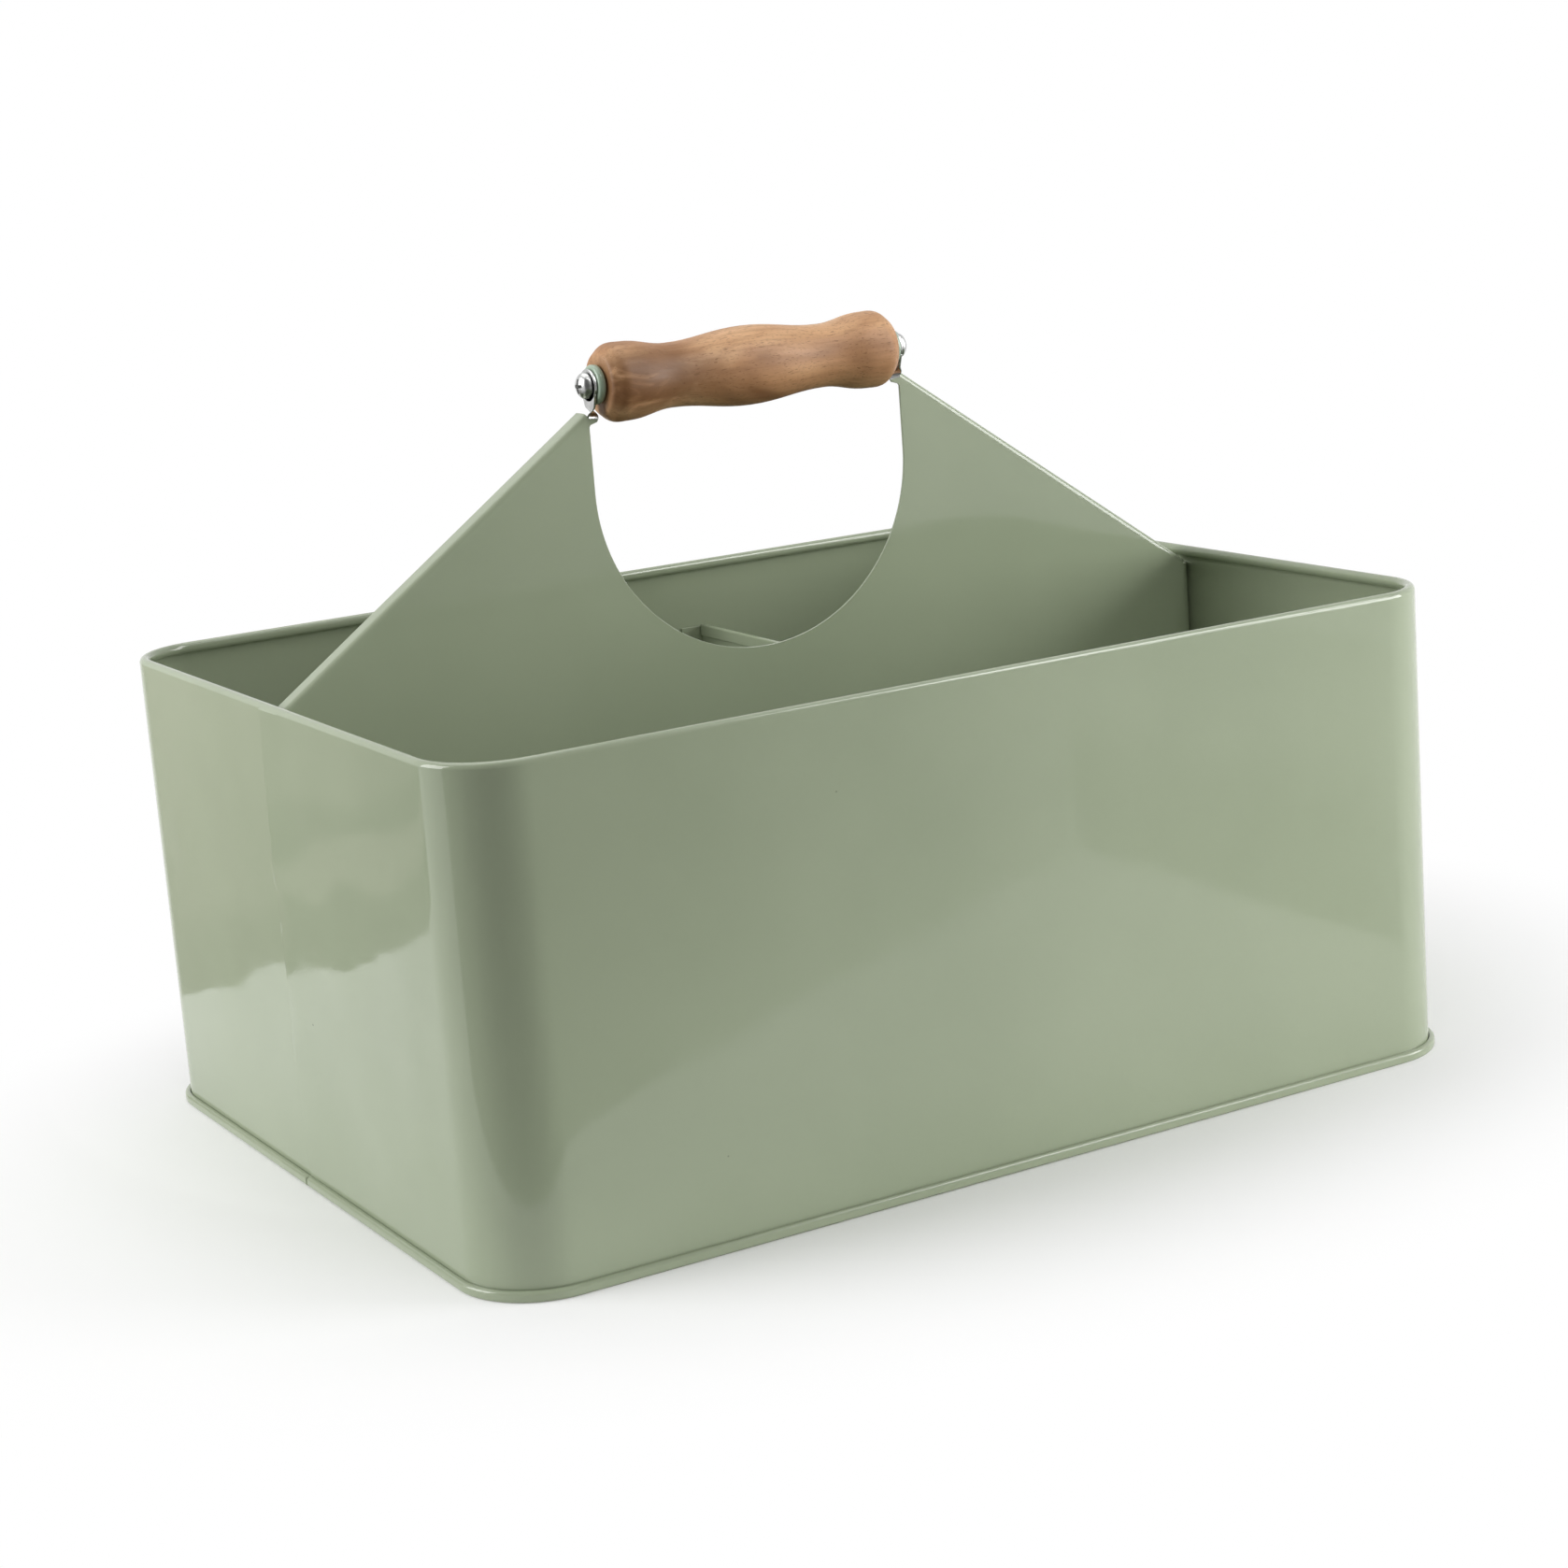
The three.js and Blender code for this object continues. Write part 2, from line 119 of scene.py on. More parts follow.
class Nodes:
    """Node tree of a material or a world while it is put together."""

    def __init__(self, owner: Material | bpy.types.World) -> None:
        """Empties the owner's tree.

        Args:
            owner: Material or world that the tree belongs to.
        """
        owner.use_nodes = True
        self.tree = owner.node_tree
        self.tree.nodes.clear()

    def put(self, given: Given, target: Socket) -> None:
        """Fills an input.

        Args:
            given: Constant, another node's result, or None to leave the input as it is.
            target: Input that takes it.
        """
        if isinstance(given, Socket):
            self.tree.links.new(given, target)
        elif given is not None:
            target.default_value = given

    def node(self, kind: str, inputs: dict[str | int, Given] | None = None,
             **settings: str) -> bpy.types.Node:
        """Adds a node.

        Args:
            kind: Blender's name of the node type.
            inputs: What its inputs take, by their names or numbers.
            settings: Properties that are set first.

        Returns:
            The new node.
        """
        made = self.tree.nodes.new(kind)
        for key, value in settings.items():
            setattr(made, key, value)
        for key, given in (inputs or {}).items():
            self.put(given, made.inputs[key])
        return made

    def seen(self) -> Socket:
        """Tells rays of the camera, of mirrors and of glass from the rays that light the object.

        Returns:
            The socket, 1 for a ray that is seen.
        """
        rays = self.node("ShaderNodeLightPath").outputs
        total = rays["Is Camera Ray"]
        for ray in ("Is Glossy Ray", "Is Transmission Ray"):
            inputs = {0: total, 1: rays[ray]}
            total = self.node("ShaderNodeMath", inputs, operation="MAXIMUM").outputs[0]
        return total


class Paint(Nodes):
    """Finish with a Principled shader while it is put together."""

    # Numbers of the Mix node's colour sockets, whose names are not their own
    UNDER, OVER, MIXED = 6, 7, 2

    def __init__(self, name: str) -> None:
        """Starts a plain finish.

        Args:
            name: Name of the material.
        """
        self.material = bpy.data.materials.new(name)
        super().__init__(self.material)
        self.shader = self.node("ShaderNodeBsdfPrincipled")
        self.output = self.node("ShaderNodeOutputMaterial", {"Surface": self.shader.outputs[0]})

    def feed(self, key: str, given: Given) -> None:
        """Fills one of the shader's inputs."""
        self.put(given, self.shader.inputs[key])

    def place(self, scale: Place = (1.0, 1.0, 1.0), shift: Place = (0.0, 0.0, 0.0),
              turn: float = 0.0) -> Socket:
        """Gives Object coordinates, shifted, turned and then scaled.

        Args:
            scale: Factor along each axis.
            shift: Point, in metres, that becomes the origin.
            turn: Angle about the upright, in degrees.

        Returns:
            The vector socket.
        """
        inputs = {"Vector": self.node("ShaderNodeTexCoord").outputs["Object"],
                  "Location": shift, "Rotation": (0, 0, math.radians(turn)),
                  "Scale": [1 / factor for factor in scale]}
        return self.node("ShaderNodeMapping", inputs, vector_type="TEXTURE").outputs["Vector"]

    def reach(self, vector: Socket) -> Socket:
        """Gives a vector's length."""
        return self.node("ShaderNodeVectorMath", {0: vector}, operation="LENGTH").outputs["Value"]

    def times(self, first: Socket, second: Socket) -> Socket:
        """Multiplies two values."""
        return self.node("ShaderNodeMath", {0: first, 1: second}, operation="MULTIPLY").outputs[0]

    def clouds(self, pattern: Pattern) -> Socket:
        """Adds a pattern's noise, before its levels are taken.

        Args:
            pattern: Pattern to add.

        Returns:
            The factor socket.
        """
        inputs = {"Vector": self.place(pattern.scale, pattern.shift, pattern.turn),
                  "Scale": 1.0, "Detail": pattern.detail, "Distortion": pattern.bend}
        return self.node("ShaderNodeTexNoise", inputs).outputs[0]

    def layer(self, pattern: Pattern) -> Socket:
        """Adds a pattern's noise and takes its levels."""
        return self.spread(self.clouds(pattern), pattern.levels, pattern.gives)

    def specks(self, scale: float) -> Socket:
        """Scatters points, so many a metre, and gives the distance to the nearest."""
        inputs = {"Vector": self.place(), "Scale": scale}
        return self.node("ShaderNodeTexVoronoi", inputs).outputs["Distance"]

    def spread(self, value: Socket, levels: Span, gives: Span = (0.0, 1.0)) -> Socket:
        """Maps a value smoothly from one span to another, held at the ends.

        Args:
            value: Socket to read.
            levels: Span that is read.
            gives: Results at the ends of that span.

        Returns:
            The result socket.
        """
        inputs = {"Value": value, "From Min": levels[0], "From Max": levels[1],
                  "To Min": gives[0], "To Max": gives[1]}
        made = self.node("ShaderNodeMapRange", inputs, interpolation_type="SMOOTHSTEP")
        return made.outputs["Result"]

    def ramp(self, value: Socket, stops: Sequence[tuple[float, Colour]]) -> Socket:
        """Colours a value.

        Args:
            value: Socket to read.
            stops: Places from 0 to 1 and their colours.

        Returns:
            The colour socket.
        """
        made = self.node("ShaderNodeValToRGB", {"Fac": value})
        cells = made.color_ramp.elements
        while len(cells) < len(stops):
            cells.new(0.5)
        for cell, (part, colour) in zip(cells, stops):
            cell.position = part
            cell.color = colour
        return made.outputs["Color"]

    def mix(self, factor: Socket, under: Socket, over: Colour) -> Socket:
        """Lays one colour over another by a factor."""
        inputs = {"Factor": factor, self.UNDER: under, self.OVER: over}
        return self.node("ShaderNodeMix", inputs, data_type="RGBA").outputs[self.MIXED]

    def bump(self, height: Socket, depth: float, under: Socket | None = None) -> Socket:
        """Bends a normal by a height whose 1 is so many metres deep."""
        inputs = {"Height": height, "Distance": depth, "Normal": under}
        return self.node("ShaderNodeBump", inputs).outputs["Normal"]

    def cover(self, factor: Socket, kind: str) -> None:
        """Lays another shader over the Principled one.

        Args:
            factor: Share of the other shader.
            kind: Blender's name of its node type.
        """
        inputs = {0: factor, 1: self.shader.outputs[0], 2: self.node(kind).outputs[0]}
        both = self.node("ShaderNodeMixShader", inputs)
        self.put(both.outputs[0], self.output.inputs["Surface"])


@dataclass(frozen=True)
class EnamelFinish:
    """Glossy paint over thin sheet."""

    name: str
    pale: Colour
    deep: Colour
    drift: Pattern = Pattern((9.0,) * 3, 3.0, levels=(0.3, 0.7))
    speck: Colour = (0.10, 0.10, 0.075, 1.0)
    speck_scale: float = 52.0
    speck_reach: Span = (0.015, 0.03)
    speck_share: Span = (0.7, 0.0)
    rare: Pattern = Pattern((31.0,) * 3, 0.0, levels=(0.62, 0.66))
    gloss: Pattern = Pattern((70.0,) * 3, 4.0, levels=(0.25, 0.75), gives=(0.05, 0.10))
    wave: Pattern = Pattern((11.0,) * 3, 1.0, 0.4)
    wave_depth: float = 0.0008
    peel: Pattern = Pattern((900.0,) * 3)
    peel_depth: float = 0.000006

    def material(self) -> Material:
        """Builds the paint: drifting colour, rare specks, uneven gloss, sheet not quite flat.

        Returns:
            The material.
        """
        paint = Paint(self.name)
        ground = paint.ramp(paint.layer(self.drift), ((0.0, self.deep), (1.0, self.pale)))
        spots = paint.spread(paint.specks(self.speck_scale), self.speck_reach, self.speck_share)
        spots = paint.times(spots, paint.layer(self.rare))
        paint.feed("Base Color", paint.mix(spots, ground, self.speck))
        paint.feed("Roughness", paint.layer(self.gloss))
        waves = paint.bump(paint.clouds(self.wave), self.wave_depth)
        paint.feed("Normal", paint.bump(paint.clouds(self.peel), self.peel_depth, waves))
        return paint.material


@dataclass(frozen=True)
class WoodFinish:
    """Oiled hardwood with a smoky figure, its grain along the grip."""

    name: str
    light: Colour = (0.72, 0.43, 0.23, 1.0)
    middle: Colour = (0.51, 0.27, 0.13, 1.0)
    dark: Colour = (0.28, 0.13, 0.056, 1.0)
    smoke: Colour = (0.17, 0.073, 0.025, 1.0)
    bands: Pattern = Pattern((15.0, 46.0, 46.0), 2.0, 0.8, shift=(-0.03, 0.012, 0.2582), turn=14.0)
    band_levels: Place = (0.28, 0.46, 0.62)
    streaks: Pattern = Pattern((22.0, 620.0, 620.0), 4.0, 0.2, (0.42, 0.75), (0.0, 0.35))
    knot: Place = (-0.044, -0.011, 0.258)
    knot_scale: Place = (24.0, 42.0, 56.0)
    knot_reach: Span = (0.25, 1.0)
    drift: Pattern = Pattern((60.0, 130.0, 130.0), 4.0, 1.0, (0.2, 0.52), (0.0, 0.9))
    fuzz: Pattern = Pattern((700.0, 1300.0, 1300.0), 3.0, 0.0, (0.5, 0.8), (0.0, 0.4))
    pores: Pattern = Pattern((420.0, 2600.0, 2600.0), 0.0, 0.0, (0.68, 0.76), (0.0, 0.5))
    gloss_levels: Span = (0.2, 0.8)
    gloss: Span = (0.40, 0.55)
    shine: float = 0.3
    grain_depth: float = 0.00004
    pore_depth: float = 0.00003

    def material(self) -> Material:
        """Builds the wood: slanting bands, a smoky patch, fine grain, pores and an oiled sheen.

        Returns:
            The material.
        """
        wood = Paint(self.name)
        tones = list(zip(self.band_levels, (self.dark, self.middle, self.light)))
        tone = wood.ramp(wood.clouds(self.bands), tones)
        streaks = wood.clouds(self.streaks)
        fibres = wood.spread(streaks, self.streaks.levels, self.streaks.gives)
        tone = wood.mix(fibres, tone, self.dark)
        off_knot = wood.reach(wood.place(self.knot_scale, self.knot))
        near = wood.spread(off_knot, self.knot_reach, (1.0, 0.0))
        tone = wood.mix(wood.times(near, wood.layer(self.drift)), tone, self.smoke)
        tone = wood.mix(wood.layer(self.fuzz), tone, self.dark)
        pores = wood.layer(self.pores)
        wood.feed("Base Color", wood.mix(pores, tone, self.smoke))
        wood.feed("Roughness", wood.spread(streaks, self.gloss_levels, self.gloss))
        wood.feed("Specular IOR Level", self.shine)
        grain = wood.bump(streaks, self.grain_depth)
        sunk = wood.spread(pores, self.pores.gives, (1.0, 0.0))
        wood.feed("Normal", wood.bump(sunk, self.pore_depth, grain))
        return wood.material


@dataclass(frozen=True)
class ZincFinish:
    """Bright zinc plating with a faint cloud."""

    name: str
    bright: Colour = (0.58, 0.58, 0.57, 1.0)
    dull: Colour = (0.42, 0.425, 0.42, 1.0)
    cloud: Pattern = Pattern((380.0,) * 3, 3.0, levels=(0.3, 0.7), gives=(0.30, 0.16))
    scratches: Pattern = Pattern((1400.0,) * 3)
    scratch_depth: float = 0.00001

    def material(self) -> Material:
        """Builds the plating: clouded metal with fine scratches.

        Returns:
            The material.
        """
        zinc = Paint(self.name)
        clouds = zinc.clouds(self.cloud)
        tones = list(zip(self.cloud.levels, (self.dull, self.bright)))
        zinc.feed("Base Color", zinc.ramp(clouds, tones))
        zinc.feed("Metallic", 1.0)
        zinc.feed("Roughness", zinc.spread(clouds, self.cloud.levels, self.cloud.gives))
        zinc.feed("Normal", zinc.bump(zinc.clouds(self.scratches), self.scratch_depth))
        return zinc.material


SAGE = EnamelFinish("sage_enamel", (0.355, 0.405, 0.285, 1.0), (0.325, 0.375, 0.260, 1.0))
PALE_SAGE = EnamelFinish("washer_enamel", (0.37, 0.47, 0.36, 1.0), (0.33, 0.43, 0.325, 1.0),
                         wave_depth=0.0)
OILED_WOOD = WoodFinish("oiled_wood")
ZINC = ZincFinish("bright_zinc")


@dataclass(frozen=True)
class Finishes:
    """Materials that the pieces wear."""

    enamel: Material
    washer_enamel: Material
    wood: Material
    zinc: Material


class Sheet:
    """Mesh of one piece while it is folded or turned, in millimetres."""

    MERGED = 0.002

    def __init__(self) -> None:
        """Starts an empty mesh."""
        self.bm = bmesh.new()

    @staticmethod
    def ends(edges: Iterable[Edge]) -> list[Vert]:
        """Vertices of some edges, each once."""
        return list({vert for edge in edges for vert in edge.verts})

    def start(self, *place: float) -> Vert:
        """Puts a first point."""
        return self.bm.verts.new(place)

    def run(self, vert: Vert, *place: float) -> Vert:
        """Draws a straight line.

        Args:
            vert: Where it starts.
            place: Where it stops.

        Returns:
            The point at its end.
        """
        made = bmesh.ops.extrude_vert_indiv(self.bm, verts=[vert])["verts"][0]
        bmesh.ops.translate(self.bm, verts=[made], vec=Vector(place) - made.co)
        return made

    def spin(self, parts: Sequence[Edge | Vert], centre: Sequence[float], axis: Sequence[float],
             degrees: float, steps: int, merge: bool = False) -> list[Edge | Vert]:
        """Turns points into edges, or edges into faces, about an axis.

        Args:
            parts: Points or edges to turn.
            centre: Point on the axis.
            axis: Direction of the axis.
            degrees: Angle of the turn.
            steps: Straight pieces in it.
            merge: Whether its end is joined to its start.

        Returns:
            The parts at its end.
        """
        made = bmesh.ops.spin(self.bm, geom=parts, cent=centre, axis=axis, dvec=(0, 0, 0),
                              angle=math.radians(degrees), steps=steps, use_merge=merge,
                              use_duplicate=False)
        return made["geom_last"]

    def arc(self, vert: Vert, centre: Sequence[float], axis: Axis, degrees: float,
            steps: int) -> Vert:
        """Draws an arc from a point and gives the point at its end."""
        made = self.spin([vert], centre, axis.value, degrees, steps)
        return next(part for part in made if isinstance(part, Vert))

    def swing(self, edges: Sequence[Edge], centre: Sequence[float], axis: Sequence[float],
              degrees: float, steps: int) -> list[Edge]:
        """Turns edges into faces and gives the edges at their end."""
        made = self.spin([*edges, *self.ends(edges)], centre, axis, degrees, steps)
        return [part for part in made if isinstance(part, Edge)]

    def turn(self, edges: Sequence[Edge], centre: Sequence[float], steps: int) -> None:
        """Turns a profile once round an axis along X."""
        self.spin([*edges, *self.ends(edges)], centre, Axis.X.value, 360, steps, merge=True)

    def drag(self, edges: Sequence[Edge], way: Sequence[float], steps: int = 1) -> list[Edge]:
        """Pulls edges along a straight way into faces.

        Args:
            edges: Edges to pull.
            way: Whole way that they go.
            steps: Faces along the way.

        Returns:
            The edges at its end.
        """
        for _ in range(steps):
            made = bmesh.ops.extrude_edge_only(self.bm, edges=edges)["geom"]
            edges = [part for part in made if isinstance(part, Edge)]
            bmesh.ops.translate(self.bm, verts=self.ends(edges), vec=Vector(way) / steps)
        return list(edges)

    def close(self) -> None:
        """Merges doubled points and turns the faces outward."""
        bmesh.ops.remove_doubles(self.bm, verts=self.bm.verts, dist=self.MERGED)
        bmesh.ops.recalc_face_normals(self.bm, faces=self.bm.faces)

    def piece(self, name: str, finishes: Sequence[Material]) -> Piece:
        """Makes the mesh an object at the origin, in metres.

        Args:
            name: Name of the piece.
            finishes: Materials in the order of the faces' numbers.

        Returns:
            The object.
        """
        bmesh.ops.scale(self.bm, vec=(MM, MM, MM), verts=self.bm.verts)
        mesh = bpy.data.meshes.new(name)
        self.bm.to_mesh(mesh)
        self.bm.free()
        mesh.shade_smooth()
        for finish in finishes:
            mesh.materials.append(finish)
        made = bpy.data.objects.new(name, mesh)
        bpy.context.scene.collection.objects.link(made)
        return made


@dataclass
class SubAssembly:
    """Group of pieces, and what is done with each once its mesh is made."""

    finishes: Finishes
    soft_segments: int = 2
    sharp_degrees: float = 40.0

    def dress(self, made: Sheet, name: str, wears: Sequence[Material], edge: float,
              thickness: float = 0.0) -> Piece:
        """Makes a mesh an object, thick if it is a folded sheet, and softens its sharp edges.

        Args:
            made: Mesh of the piece, or of a sheet's middle surface.
            name: Name of the piece.
            wears: Materials in the order of the faces' numbers.
            edge: Width of the softened edges, in millimetres.
            thickness: Thickness of a folded sheet, in millimetres.

        Returns:
            The object.
        """
        piece = made.piece(name, wears)
        if thickness:
            shell = piece.modifiers.new("thickness", "SOLIDIFY")
            shell.thickness = thickness * MM
            shell.offset = 0.0
            shell.use_even_offset = True
        bevel = piece.modifiers.new("soft_edges", "BEVEL")
        bevel.width = edge * MM
        bevel.segments = self.soft_segments
        bevel.limit_method = "ANGLE"
        bevel.angle_limit = math.radians(self.sharp_degrees)
        piece.modifiers.new("even_shading", "WEIGHTED_NORMAL").keep_sharp = True
        return piece

    @staticmethod
    def hand_over(piece: Piece, node: str, body: Body, slot: str) -> None:
        """Puts a piece in a solid's place and reports it.

        Args:
            piece: Object that is shown.
            node: Solid that it stands for.
            body: Body that it rides on.
            slot: Not used.
        """
        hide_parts(node)
        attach(piece, body.value)
        LOG.info("%s stands for %s on %s", piece.name, node, body.value)


@dataclass
class BoxShell(SubAssembly):
    """Walls rolled at the rim, and the floor that is folded round their foot."""

    sheet: float = 0.6
    gap: float = 0.3
    length: float = 380.0
    width: float = 290.0
    rim_height: float = 168.0
    corner: float = 26.5
    corner_steps: int = 14
    wall_steps: int = 26
    wall_pitch: float = 7.0
    wall_edge: float = 0.12
    curl: float = 2.0
    curl_degrees: float = 270.0
    curl_steps: int = 18
    # Lap on the left end wall: its edge is a narrow step that wavers a little
    lap_y: float = 5.0
    lap_width: float = 24.0
    lap_proud: float = 0.5
    lap_step: float = 0.12
    lap_beside: float = 0.6
    lap_near: float = 0.2
    waver: float = 0.5
    waver_seed: float = 3.1
    waver_length: float = 26.0
    # Waves of that wall: seed and depth on each side of the lap, lengths along Y and Z
    lapped_wave: Span = (11.9, 0.75)
    plain_wave: Span = (7.3, 0.45)
    long_wave: Span = (52.0, 30.0)
    short_wave: Span = (24.0, 15.0)
    short_share: float = 0.4
    bulge: float = 0.9
    calm: float = 24.0
    calm_rim: float = 8.0
    dent_place: Place = (-136.0, -145.0, 84.0)
    dent_reach: float = 9.0
    dent_depth: float = 0.25
    floor_top: float = 5.0
    floor_pitch: float = 30.0
    floor_edge: float = 0.1
    seam_height: float = 3.6
    seam_out: float = 2.2
    seam_round: float = 1.2
    seam_steps: int = 5
    seam_pinch: float = 0.3

    def round_trip(self, made: Sheet, edges: Sequence[Edge], pitch: float) -> None:
        """Carries a section once round the box, from the front wall's left end.

        Args:
            made: Sheet that the section is drawn in.
            edges: Edges of the section, at the front wall's left end.
            pitch: Length of one face along the straight walls.
        """
        along = self.length - 2 * self.corner
        across = self.width - 2 * self.corner
        right, back = along / 2, across / 2
        beyond = back - self.lap_y
        lap_stops = (beyond - self.lap_beside, self.lap_beside, self.lap_step, self.lap_beside,
                     self.lap_width - self.lap_beside - self.lap_step,
                     across - beyond - self.lap_width)
        legs = (
            ((1, 0), (along,), (right, -back)),
            ((0, 1), (across,), (right, back)),
            ((-1, 0), (along,), (-right, back)),
            ((0, -1), lap_stops, (-right, -back)),
        )
        for (x, y), stops, centre in legs:
            for stop in stops:
                edges = made.drag(edges, (x * stop, y * stop, 0), max(1, round(stop / pitch)))
            edges = made.swing(edges, (*centre, 0), Axis.Z.value, 90, self.corner_steps)

    def walls(self) -> Piece:
        """Builds the wall sheet: foot, wall, inward roll at the rim and lap on the left end.

        Returns:
            The object.
        """
        made = Sheet()
        left = self.corner - self.length / 2
        face = self.sheet / 2 - self.width / 2
        curl_z = self.rim_height - self.curl
        foot = self.sheet + self.gap
        top = made.start(left, face, foot)
        for step in range(1, self.wall_steps + 1):
            top = made.run(top, left, face, foot + (curl_z - foot) * step / self.wall_steps)
        middle = (left, self.curl - self.width / 2, curl_z)
        made.arc(top, middle, Axis.X, -self.curl_degrees, self.curl_steps)
        self.round_trip(made, made.bm.edges[:], self.wall_pitch)
        made.close()
        self.lift_lap(made)
        self.buckle(made)
        self.dent(made)
        enamel = self.finishes.enamel
        return self.dress(made, "wall_sheet", [enamel], self.wall_edge, self.sheet)

    def lift_lap(self, made: Sheet) -> None:
        """Raises the sheet's outer end on the left end wall, and lets its edge waver.

        Args:
            made: Sheet of the walls.
        """
        outside = self.sheet - self.length / 2
        start = self.lap_y - self.lap_width
        for vert in made.bm.verts:
            x, y, z = vert.co
            if x > outside or z < self.seam_height or z > self.rim_height - self.curl:
                continue
            if start < y < self.lap_y - self.lap_step / 2:
                vert.co.x -= self.lap_proud * (y - start) / self.lap_width
            if abs(y - self.lap_y) < self.lap_near:
                here = Vector((0, self.waver_seed, z / self.waver_length))
                vert.co.y += self.waver * noise.noise(here)

    def buckle(self, made: Sheet) -> None:
        """Lets the left end wall bulge outward in shallow waves, as lapped thin sheet does.

        Args:
            made: Sheet of the walls.
        """
        half = self.width / 2 - self.corner
        for vert in made.bm.verts:
            x, y, z = vert.co
            if x > self.sheet - self.length / 2 or abs(y) > half:
                continue
            inset = min(z - self.seam_height, self.rim_height - self.calm_rim - z, half - abs(y))
            lapped = y < self.lap_y - self.lap_step / 2
            seed, depth = self.lapped_wave if lapped else self.plain_wave
            long, short = (noise.noise(Vector((seed, y / wide, z / high)))
                           for wide, high in (self.long_wave, self.short_wave))
            height = max(0, self.bulge + long + self.short_share * short)
            vert.co.x -= depth * ease(min(1, max(0, inset / self.calm))) * height

    def dent(self, made: Sheet) -> None:
        """Presses one soft dent into the front wall.

        Args:
            made: Sheet of the walls.
        """
        centre = Vector(self.dent_place)
        for vert in made.bm.verts:
            near = (vert.co - centre).length / self.dent_reach
            if near < 1:
                vert.co.y += self.dent_depth * (1 - near * near) ** 2

    def floor(self) -> Piece:
        """Builds the floor: bead outside the walls' foot, fold under them and the panel inside.

        Returns:
            The object.
        """
        made = Sheet()
        left = self.corner - self.length / 2
        side = self.length / 2
        inner = self.sheet + self.gap
        out, soft = self.seam_out, self.seam_round

        def at(inset: float, z: float) -> Place:
            """Place in the section from an inset and a height."""
            return (left, inset - self.width / 2, z)

        first = made.start(*at(-self.gap, self.seam_height))
        vert = made.run(first, *at(soft - out, self.seam_height))
        crest = at(soft - out, self.seam_height - soft)
        vert = made.arc(vert, crest, Axis.X, 90, self.seam_steps)
        vert = made.run(vert, *at(-out, soft))
        vert = made.arc(vert, at(soft - out, soft), Axis.X, 90, self.seam_steps)
        for inset, z in ((inner + self.sheet, 0), (inner + self.sheet, self.floor_top),
                         (inner, self.floor_top), (inner, self.sheet), (-self.gap, self.sheet)):
            vert = made.run(vert, *at(inset, z))
        made.bm.edges.new((vert, first))
        self.round_trip(made, made.bm.edges[:], self.floor_pitch)
        for vert in made.bm.verts:
            if vert.co.x < -side and abs(vert.co.y - self.lap_y) < self.lap_near:
                vert.co.x = -side - self.seam_pinch * (-vert.co.x - side)
        ring = set(made.bm.edges)
        corner = made.start(*at(inner + self.sheet / 2, self.floor_top - self.sheet))
        wire = made.run(corner, *at(inner + self.sheet / 2, self.floor_top))
        edge = next(e for e in wire.link_edges if e not in ring)
        self.round_trip(made, [edge], self.floor_pitch)
        made.close()
        rims = [e for e in made.bm.edges if e.is_boundary]
        bmesh.ops.edgeloop_fill(made.bm, edges=rims)
        bmesh.ops.recalc_face_normals(made.bm, faces=made.bm.faces)
        return self.dress(made, "floor_sheet", [self.finishes.enamel], self.floor_edge)

    def build(self) -> None:
        """Builds both pieces and puts them in their solids' places."""
        self.hand_over(self.walls(), "wall_wrap", Body.BOX, "enamel")
        self.hand_over(self.floor(), "floor_panel", Body.BOX, "enamel")


